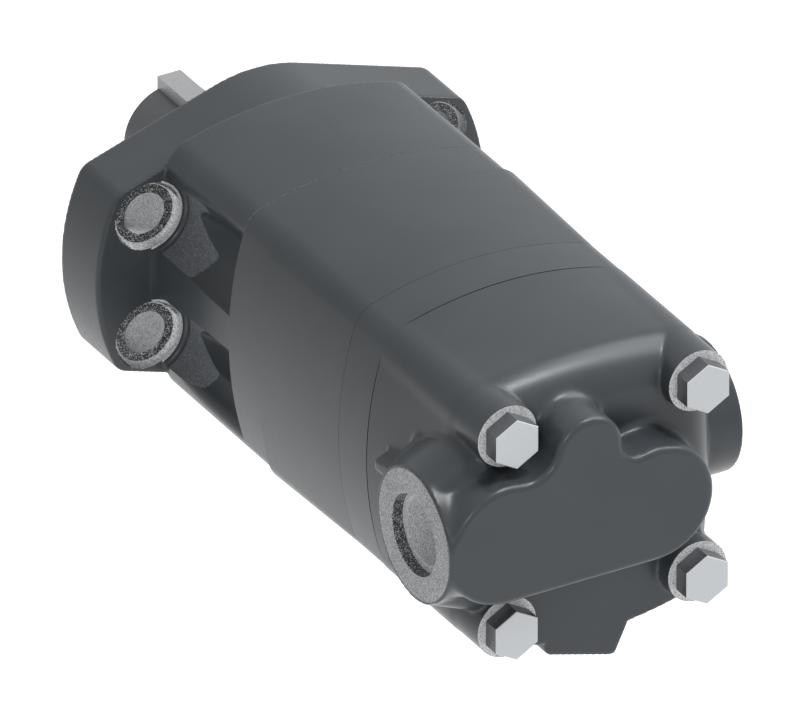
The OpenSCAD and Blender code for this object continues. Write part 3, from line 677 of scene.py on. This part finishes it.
PAINT = paint_material()
IRON = machined_material("machined iron", [
    (0.10, (0.14, 0.145, 0.15)), (0.45, (0.28, 0.29, 0.30)),
    (0.80, (0.41, 0.42, 0.43)), (1.0, (0.60, 0.61, 0.62))])
# Darker copy of the machined iron: painted shade on the mount spot floors, their walls facing down and the
# shallow walls of the port mouths.
SHADED_IRON = machined_material("iron with painted shade", [
    (0.30, (0.035, 0.039, 0.042)), (0.70, (0.06, 0.065, 0.07)),
    (0.90, (0.20, 0.205, 0.21)), (1.0, (0.64, 0.65, 0.66))])
# Lighter copy of the machined iron: painted light on the mounting bores, the spot walls facing up, the deep
# port bores and the bolt seats, where it also lifts the shade under the heads.
LIT_IRON = machined_material("iron with painted light", [
    (0.05, (0.26, 0.265, 0.27)), (0.35, (0.62, 0.63, 0.64)),
    (0.75, (0.80, 0.81, 0.82)), (1.0, (0.92, 0.93, 0.94))])
# Paint lighter than the casting's, with a speckled rim, on the bolt clearance in each pocket: painted light
# on the pocket wall.
ROOM_PAINTED_LIGHT = machined_material("clearance with painted light", [
    (0.10, (0.125, 0.137, 0.149)), (0.80, (0.140, 0.152, 0.164)),
    (0.97, (0.20, 0.21, 0.22)), (1.0, (0.30, 0.31, 0.32))])
# Near black on the walls of the seam grooves: painted shadow.
SEAM_SHADOW = steel_material("seam shadow", (0.006, 0.007, 0.008), (0.003, 0.004, 0.004), 0.7, 0.0)
BOLT_STEEL = steel_material("bolt steel", (0.64, 0.66, 0.68), (0.60, 0.62, 0.64), 0.42, 0.2)
# Darker copy of the bolt steel for the heads' side facets: painted shade.
BOLT_SIDE_SHADE = steel_material("bolt side painted shade", (0.12, 0.13, 0.14), (0.08, 0.085, 0.095), 0.35, 0.3)
SHAFT_STEEL = steel_material("shaft steel", (0.13, 0.135, 0.14), (0.10, 0.105, 0.11), 0.36, 0.5)
KEY_STEEL = steel_material("key steel", (0.42, 0.43, 0.44), (0.34, 0.35, 0.36), 0.4, 0.5)
BEARING_STEEL = steel_material("bearing steel", (0.55, 0.56, 0.58), (0.47, 0.48, 0.50), 0.28, 0.85)
RUBBER = rubber_material()

CAD_MATERIAL = {
    "casting": PAINT, "shaft_steel": SHAFT_STEEL, "key_steel": KEY_STEEL,
    "bearing_steel": BEARING_STEEL, "bolt_steel": BOLT_STEEL, "rubber": RUBBER,
}


FACE_MATERIALS = (PAINT, IRON, SHADED_IRON, LIT_IRON, SEAM_SHADOW, ROOM_PAINTED_LIGHT)
ON_PAINT, ON_IRON, ON_SHADED_IRON, ON_LIT_IRON, ON_SEAM_SHADOW, ON_ROOM_LIGHT = range(len(FACE_MATERIALS))


def dress_cad_nodes():
    """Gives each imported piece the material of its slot."""
    for row in frame["record"]["subparts"]:
        piece = frame["nodes"][row["node"]]
        piece.data.materials.clear()
        piece.data.materials.append(CAD_MATERIAL[row["material_slot"]])


def machined_faces(piece, test):
    """Gives each face the material whose number the test returns for its middle and normal."""
    mesh = piece.data
    mesh.materials.clear()
    for material in FACE_MATERIALS:
        mesh.materials.append(material)
    for face in mesh.polygons:
        c, n = face.center, face.normal
        where = (c.x / MM, c.z / MM, -c.y / MM)
        face.material_index = test(where, (n.x, n.z, -n.y))


def finish_piece(piece, node, body="housing"):
    keep_inside(piece, node)
    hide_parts(node)
    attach(piece, body)


# Castings and body sections

def near_mount(p, r):
    return any(math.hypot(p[0] - mx, p[1] - mz) < r for mx, mz in at_mounts())


def near_bolt(p, r):
    return any(math.hypot(p[0] - bx, p[1] - bz) < r for bx, bz in at_bolts())


def housing_bore():
    bores = [(-PILOT_H - SPARE, DUST_BORE_R), (DUST_BORE_END, DUST_BORE_R), (DUST_BORE_END, JOURNAL_BORE_R),
             (SEAL_BORE_S, JOURNAL_BORE_R), (SEAL_BORE_S, SEAL_BORE_R), (BEARING_BORE_S, SEAL_BORE_R),
             (BEARING_BORE_S, BEARING_BORE_R), (WEAR_S + SPARE, BEARING_BORE_R)]
    return lathe_cutter("bore", bores, at_axis(0, 0))


def mount_cutters(x, z):
    """A mounting hole with its spot face, and the room for the bolt behind it."""
    hole = [(-SPARE, MOUNT_HOLE_R + 2.0), (0.0, MOUNT_HOLE_R + 0.6), (0.6, MOUNT_HOLE_R),
            (MOUNT_SPOT_S, MOUNT_HOLE_R)]
    hole += foot_fillet(MOUNT_SPOT_S, MOUNT_SPOT_R, MOUNT_SPOT_EDGE) + [(FLANGE_T + 4.0, MOUNT_SPOT_R)]
    room = foot_fillet(ROOM_S, MOUNT_ROOM_R, ROOM_EDGE) + [(WEAR_S - 1.0, MOUNT_ROOM_R)]
    return [lathe_cutter("mount", hole, at_axis(x, z)), lathe_cutter("room", room, at_axis(x, z))]


def side_relief(side):
    """Cutter that sets the body's side back between two mounting holes."""
    near, far = side * (HALF - RELIEF_DEEP), side * 80.0
    outline = [(near, -MOUNT_Z), (far, -MOUNT_Z), (far, MOUNT_Z), (near, MOUNT_Z)]
    return outline_cutter("relief", outline, ROOM_S, WEAR_S + SPARE)


def housing_face(p, n):
    """Which material a face of the housing has."""
    if near_mount(p, MOUNT_SPOT_R + 0.05) and 0.1 < p[2] < FLANGE_T + 0.05:
        # The mounting bore takes the iron with painted light. On the spot face, the walls and fillet facing
        # up take the iron with painted light, the floor and the walls facing down the iron with painted
        # shade.
        if near_mount(p, MOUNT_HOLE_R + 0.7):
            return ON_LIT_IRON
        facing_light = n[1] > -0.3 and n[0] < 0.5
        return ON_LIT_IRON if facing_light and abs(p[2] - MOUNT_SPOT_S) > ON_PLANE else ON_SHADED_IRON
    # The clearance wall in the pocket takes the lighter paint: painted light.
    if near_mount(p, MOUNT_ROOM_R + 0.02) and FLANGE_T + ROOM_EDGE < p[2] < WEAR_S - 2.0:
        return ON_ROOM_LIGHT
    bored = math.hypot(p[0], p[1]) < BEARING_BORE_R + 0.17 or near_bolt(p, 4.9)
    faced = p[2] < ON_PLANE or p[2] > WEAR_S - ON_PLANE
    return ON_IRON if bored or faced else ON_PAINT


def bearing_housing():
    low = (-FLANGE_END_R - 3, -HALF - 4, -4.0)
    high = (FLANGE_END_R + 3, HALF + 4, WEAR_S + 12.0)
    piece = cast("bearing_housing_casting", housing_field, low, high)
    boolean(piece, [outline_cutter("trim", WIDE_SQUARE, WEAR_S, WEAR_S + 30.0)])
    pilot = [(-PILOT_H, PILOT_R - 0.8), (0.8 - PILOT_H, PILOT_R), (SPARE, PILOT_R)]
    boolean(piece, [lathe_cutter("pilot", pilot, at_axis(0, 0))], "UNION")
    cutters = [housing_bore()]
    for x, z in at_mounts():
        cutters += mount_cutters(x, z)
    cutters += [side_relief(side) for side in (-1, 1)]
    tap = [(WEAR_S - TAP_REACH, TAP_R), (WEAR_S + SPARE, TAP_R)]
    cutters += [lathe_cutter("tap", tap, at_axis(x, z), 48) for x, z in at_bolts()]
    boolean(piece, cutters)
    machined_faces(piece, housing_face)
    shade_by_angle(piece)
    finish_piece(piece, "bearing_housing")


def cut_ports(piece):
    """Both ports, each with the passage behind it."""
    port = [(PORT_FACE - PORT_DEEP, PORT_R), (PORT_FACE - PORT_MOUTH_DEEP, PORT_R),
            (PORT_FACE - PORT_MOUTH_DEEP, PORT_MOUTH_R), (PORT_FACE, PORT_MOUTH_R),
            (PORT_FACE, PORT_SPOT_R), (PORT_FACE + 4.0, PORT_SPOT_R)]
    way_end = PORT_FACE - PORT_DEEP + 1.0
    ways = ((-1, LEFT_PORT_S, LEFT_PORT_S, 0.0, LEFT_WAY_R),
            (1, RIGHT_PORT_S, RIGHT_WAY_S, RIGHT_WAY_START, RIGHT_WAY_R))
    for side, port_s, way_s, way_start, way_r in ways:
        boolean(piece, [lathe_cutter("port", port, along_x(side, port_s))])
        boolean(piece, [lathe_cutter("way", [(way_start, way_r), (way_end, way_r)], along_x(side, way_s))])


def cover_face(p, n):
    """Which material a face of the end cover has."""
    for side, port_s in ((-1, LEFT_PORT_S), (1, RIGHT_PORT_S)):
        away = math.hypot(p[1], p[2] - port_s)
        if side * p[0] > PORT_FACE - ON_PLANE and away < PORT_SPOT_R + 0.02:
            return ON_IRON
        # The shallow wall of the port mouth takes the iron with painted shade, the deeper bore the iron
        # with painted light.
        if side * p[0] > PORT_FACE - PORT_MOUTH_DEEP + ON_PLANE and away < PORT_MOUTH_R + 0.1:
            return ON_SHADED_IRON
        if side * p[0] > 36 and away < PORT_MOUTH_R + 0.1:
            return ON_LIT_IRON
    # Bolt seats and holes take the iron with painted light, which also lifts the shade under the heads.
    on_seat = abs(p[2] - SEAT_S) < ON_PLANE
    if near_bolt(p, BOLT_SEAT_R + 0.1) and (on_seat or near_bolt(p, BOLT_HOLE_R + 0.05)):
        return ON_LIT_IRON
    inside = math.hypot(p[0], p[1]) < DISC_ROOM_R + 0.1 and p[2] < TAIL_ROOM_END
    return ON_IRON if p[2] < COVER_S + ON_PLANE or inside else ON_PAINT


def end_cover():
    low = (-PORT_FACE - 3, -62.0, COVER_S - 12.0)
    high = (PORT_FACE + 3, HALF + 4, BOSS_S + 3.0)
    piece = cast("end_cover_casting", cover_field, low, high)
    flatten(piece, (STEP_S, BOSS_S))
    boolean(piece, [outline_cutter("trim", WIDE_SQUARE, COVER_S - 40.0, COVER_S)])
    hollow = [(COVER_S - SPARE, DISC_ROOM_R), (DISC_ROOM_END, DISC_ROOM_R),
              (DISC_ROOM_END, BALANCE_ROOM_R), (BALANCE_ROOM_END, BALANCE_ROOM_R),
              (BALANCE_ROOM_END, TAIL_ROOM_R), (TAIL_ROOM_END, TAIL_ROOM_R),
              (TAIL_ROOM_END, MIDDLE_WAY_R), (LEFT_PORT_S + 6.0, MIDDLE_WAY_R)]
    boolean(piece, [lathe_cutter("hollow", hollow, at_axis(0, 0))])
    cut_ports(piece)
    hole = [(COVER_S - SPARE, BOLT_HOLE_R), (SEAT_S, BOLT_HOLE_R), (SEAT_S, BOLT_SEAT_R),
            (BOSS_S + 6.0, BOLT_SEAT_R)]
    boolean(piece, [lathe_cutter("bolt hole", hole, at_axis(x, z)) for x, z in at_bolts()])
    drain = [(-DRAIN_LEN - 1.5, DRAIN_BORE_R), (-2.0, DRAIN_BORE_R),
             (-2.0, DRAIN_SEAT_R), (3.0, DRAIN_SEAT_R)]
    boolean(piece, [lathe_cutter("drain", drain, along_drain)])
    machined_faces(piece, cover_face)
    shade_by_angle(piece)
    finish_piece(piece, "end_cover")


def body_ring(half, corner, inset=0.0):
    """Points round the body outline, drawn in by an inset."""
    big = crown_radius(half, corner)
    lean = math.atan2(BOLT, BOLT - half + big)
    points = []
    for q in range(4):
        turn = q * math.pi / 2
        side = arc(half - big, 0, big - inset, -lean, lean, 28)
        knee = arc(BOLT, BOLT, corner - inset, lean, math.pi / 2 - lean, 20)[1:-1]
        for x, z in side + knee:
            points.append((x * math.cos(turn) - z * math.sin(turn),
                           x * math.sin(turn) + z * math.cos(turn)))
    return points


def section(name, s0, s1, corners, gaps):
    """A slice of the body. A gap is the half width of the dark seam at that end."""
    rows = []
    if gaps[0]:
        rows += [(s0, corners[0], SEAM_DEEP), (s0 + gaps[0], corners[0], SEAM_DEEP)]
    rows += [(s0 + gaps[0], corners[0], 0.0), (s1 - gaps[1], corners[1], 0.0)]
    if gaps[1]:
        rows += [(s1 - gaps[1], corners[1], SEAM_DEEP), (s1, corners[1], SEAM_DEEP)]
    verts = []
    for s, corner, inset in rows:
        verts += [(x, z, s) for x, z in body_ring(HALF, corner, inset)]
    n = len(verts) // len(rows)
    last = len(rows) - 1
    faces = [tuple(range(n)), tuple(last * n + i for i in range(n))[::-1]]
    faces += [(k * n + i, k * n + n + i, k * n + n + (i + 1) % n, k * n + (i + 1) % n)
              for k in range(last) for i in range(n)]
    piece = new_mesh(name, to_row(verts), faces)
    tidy_normals(piece)
    return piece


def body_depth(p):
    """How far a point lies inside the body's outline."""
    return -float(body_outline(np.float64(p[0]), np.float64(p[1]), HALF, COVER_CORNER_R))


def bolt_cutters(s0, s1):
    hole = [(s0 - SPARE, BOLT_HOLE_R), (s1 + SPARE, BOLT_HOLE_R)]
    return [lathe_cutter("bolt hole", hole, at_axis(x, z), 64) for x, z in at_bolts()]


def finish_section(piece, node, s0, s1):
    def section_face(p, n):
        from_end = min(p[2] - s0, s1 - p[2])
        if math.hypot(p[0], p[1]) < SECTION_INSIDE_R or near_bolt(p, 5.3) or from_end < 0.001:
            return ON_IRON
        # Faces inside a seam groove take the painted shadow.
        return ON_SEAM_SHADOW if from_end < 0.31 and body_depth(p) > SEAM_DEEP / 2 - 0.01 else ON_PAINT
    machined_faces(piece, section_face)
    shade_by_angle(piece, 30.0)
    finish_piece(piece, node)


def wear_plate():
    piece = section("wear_plate_section", WEAR_S, RING_S, (CORNER_R, CORNER_R), (WEAR_SEAM, 0.0))
    bore = [(WEAR_S - SPARE, WEAR_BORE_R), (RING_S + SPARE, WEAR_BORE_R)]
    boolean(piece, [lathe_cutter("bore", bore, at_axis(0, 0))] + bolt_cutters(WEAR_S, RING_S))
    finish_section(piece, "wear_plate", WEAR_S, RING_S)


def roller_ring():
    corners, gaps = (RING_CORNER_R, COVER_CORNER_R), (0.0, RING_SEAM)
    piece = section("roller_ring_section", RING_S, PLATE_S, corners, gaps)
    boolean(piece, bolt_cutters(RING_S, PLATE_S))
    land = [(RING_S - SPARE, RING_LAND_R), (PLATE_S + SPARE, RING_LAND_R)]
    boolean(piece, [lathe_cutter("land", land, at_axis(0, 0))])
    pocket = [(RING_S - 3, ROLLER_POCKET_R), (PLATE_S + 3, ROLLER_POCKET_R)]
    for x, z in on_circle(ROLLER_PITCH_R):
        boolean(piece, [lathe_cutter("pocket", pocket, at_axis(x, z), 96)])
    finish_section(piece, "roller_ring", RING_S, PLATE_S)


def valve_plate():
    corners, gaps = (COVER_CORNER_R, COVER_CORNER_R), (PLATE_SEAM, COVER_SEAM)
    piece = section("valve_plate_section", PLATE_S, COVER_S, corners, gaps)
    ends = (PLATE_S - SPARE, COVER_S + SPARE)
    cutters = [lathe_cutter("bore", [(s, PLATE_BORE_R) for s in ends], at_axis(0, 0))]
    for x, z in on_circle(WAY_PITCH_R, 0.5):
        cutters.append(lathe_cutter("way", [(s, WAY_R) for s in ends], at_axis(x, z), 48))
    boolean(piece, cutters + bolt_cutters(PLATE_S, COVER_S))
    finish_section(piece, "valve_plate", PLATE_S, COVER_S)


def hex_points(r):
    turns = [math.radians(30 + 60 * i) for i in range(6)]
    return [(r * math.cos(a), r * math.sin(a)) for a in turns]


def ring_solid(mesh, cx, cz, rows):
    """Adds a closed solid round (cx, cz). Each row is a station and its ring of points."""
    rings = [[mesh.verts.new(((cx + a) * MM, -s * MM, (cz + b) * MM)) for a, b in ring] for s, ring in rows]
    mesh.faces.new(rings[0])
    mesh.faces.new(rings[-1])
    for low, high in zip(rings, rings[1:]):
        for i in range(len(low)):
            j = (i + 1) % len(low)
            mesh.faces.new((low[i], high[i], high[j], low[j]))


def cover_bolts():
    """Hexagon heads with bright tops and sides darkened as painted shade, on plain shanks."""
    corner = HEAD_AF / 2 / math.cos(math.pi / 6)
    mesh = bmesh.new()
    head = [(SEAT_S, hex_points(corner)), (HEAD_TOP_S - HEAD_EDGE, hex_points(corner)),
            (HEAD_TOP_S, hex_points(corner - HEAD_EDGE))]
    shank = [(WEAR_S - SHANK_REACH, rod_points(SHANK_TIP_R, 48)),
             (WEAR_S - SHANK_REACH + SHANK_TIP, rod_points(SHANK_R, 48)),
             (SEAT_S + 0.5, rod_points(SHANK_R, 48))]
    for cx, cz in at_bolts():
        ring_solid(mesh, cx, cz, head)
        ring_solid(mesh, cx, cz, shank)
    bmesh.ops.recalc_face_normals(mesh, faces=mesh.faces)
    data = bpy.data.meshes.new("hex_bolts")
    mesh.to_mesh(data)
    mesh.free()
    piece = bpy.data.objects.new("hex_bolts", data)
    bpy.context.scene.collection.objects.link(piece)
    data.materials.append(BOLT_STEEL)
    data.materials.append(BOLT_SIDE_SHADE)
    # Side facets of the heads take the darker steel as painted shade; tops and shanks keep the bolt steel.
    for face in data.polygons:
        on_head = face.center.y < -(SEAT_S + 0.1) * MM
        face.material_index = 1 if on_head and abs(face.normal.y) < 0.3 else 0
    shade_by_angle(piece, 25.0)
    finish_piece(piece, "cover_bolts")


# Camera, stage and light

FLOOR_DROP = 0.35


def photo_camera():
    """A far camera with a long lens, because the photo is close to a parallel view."""
    photo_width = 0.2376
    lens, sensor = 1500.0, 36.0
    azimuth, elevation = math.radians(-30), math.radians(30)
    level = math.cos(elevation)
    back = Vector((math.sin(azimuth) * level, -math.cos(azimuth) * level, math.sin(elevation)))
    right = Vector((math.cos(azimuth), math.sin(azimuth), 0))
    up = back.cross(right)
    target = Vector((0, -0.0869, 0)) - 0.00855 * up
    data = bpy.data.cameras.new("camera")
    data.lens, data.sensor_width = lens, sensor
    data.clip_start, data.clip_end = 0.1, 100.0
    camera = bpy.data.objects.new("camera", data)
    camera.location = target + back * (photo_width * lens / sensor)
    camera.rotation_mode = "QUATERNION"
    camera.rotation_quaternion = (-back).to_track_quat("-Z", "Y")
    bpy.context.scene.collection.objects.link(camera)
    bpy.context.scene.camera = camera


def lamp(name, place, aim, size, power, colour=(1, 1, 1)):
    data = bpy.data.lights.new(name, "AREA")
    data.shape, data.size = "DISK", size
    data.energy, data.color = power, colour
    light = bpy.data.objects.new(name, data)
    light.location = place
    light.rotation_mode = "QUATERNION"
    light.rotation_quaternion = (Vector(aim) - Vector(place)).to_track_quat("-Z", "Y")
    bpy.context.scene.collection.objects.link(light)


def plain_sight(tree):
    """1 for what the camera sees, also in a reflection or through glass."""
    path = tree.nodes.new("ShaderNodeLightPath")
    total = path.outputs["Is Camera Ray"]
    for name in ("Is Glossy Ray", "Is Transmission Ray"):
        add = tree.nodes.new("ShaderNodeMath")
        add.operation, add.use_clamp = "ADD", True
        link(tree, total, add.inputs[0])
        link(tree, path.outputs[name], add.inputs[1])
        total = add.outputs[0]
    return total


def stage():
    """A pale floor well below the motor, which reads as white and keeps the shadow."""
    floor_z = cad_box[0].z - FLOOR_DROP
    size = 12.0
    mesh = bpy.data.meshes.new("floor")
    corners = ((-size, -size), (size, -size), (size, size), (-size, size))
    mesh.from_pydata([(x, y, floor_z) for x, y in corners], [], [(0, 1, 2, 3)])
    floor = bpy.data.objects.new("floor", mesh)
    bpy.context.scene.collection.objects.link(floor)
    material, tree, shader = node_material("floor")
    shades = [(0.3, (0.86, 0.86, 0.86)), (0.7, (0.9, 0.9, 0.9))]
    colour = ramp(tree, noise(tree, coords(tree), 0.002, 2.0), shades)
    link(tree, colour, shader.inputs["Base Color"])
    shader.inputs["Roughness"].default_value = 0.9
    shader.inputs["Specular IOR Level"].default_value = 0.1
    glow = tree.nodes.new("ShaderNodeEmission")
    glow.inputs["Strength"].default_value = 0.5
    lift = tree.nodes.new("ShaderNodeAddShader")
    mix = tree.nodes.new("ShaderNodeMixShader")
    link(tree, shader.outputs[0], lift.inputs[0])
    link(tree, glow.outputs[0], lift.inputs[1])
    link(tree, plain_sight(tree), mix.inputs[0])
    link(tree, shader.outputs[0], mix.inputs[1])
    link(tree, lift.outputs[0], mix.inputs[2])
    link(tree, mix.outputs[0], tree.nodes["Material Output"].inputs["Surface"])
    mesh.materials.append(material)


def world_light():
    """White where it is seen, and dimmer as a light."""
    world = bpy.data.worlds.new("world")
    bpy.context.scene.world = world
    world.use_nodes = True
    tree = world.node_tree
    back = tree.nodes["Background"]
    back.inputs["Color"].default_value = (1.0, 1.0, 1.0, 1.0)
    back.inputs["Strength"].default_value = 0.27
    seen = tree.nodes.new("ShaderNodeBackground")
    seen.inputs["Strength"].default_value = 1.0
    mix = tree.nodes.new("ShaderNodeMixShader")
    link(tree, plain_sight(tree), mix.inputs[0])
    link(tree, back.outputs[0], mix.inputs[1])
    link(tree, seen.outputs[0], mix.inputs[2])
    link(tree, mix.outputs[0], tree.nodes["World Output"].inputs["Surface"])


def lights():
    """A broad key light, a streak on the cover's shoulder, a weak fill and a rear light."""
    middle = Vector((0, -0.1, 0))
    lamp("key", middle + Vector((1.15, -0.1, 1.35)), middle, 1.5, 25.0)
    lamp("shoulder", middle + Vector((0.42, -0.4, 1.6)), middle, 0.4, 11.0)
    lamp("fill", middle + Vector((-0.6, -0.5, -0.32)), middle, 0.3, 0.5)
    lamp("rear", middle + Vector((-0.95, -1.35, 0.75)), middle, 0.3, 5.0)


dress_cad_nodes()
bearing_housing()
wear_plate()
roller_ring()
valve_plate()
end_cover()
cover_bolts()
photo_camera()
stage()
world_light()
lights()
bpy.context.scene.view_settings.view_transform = "Standard"
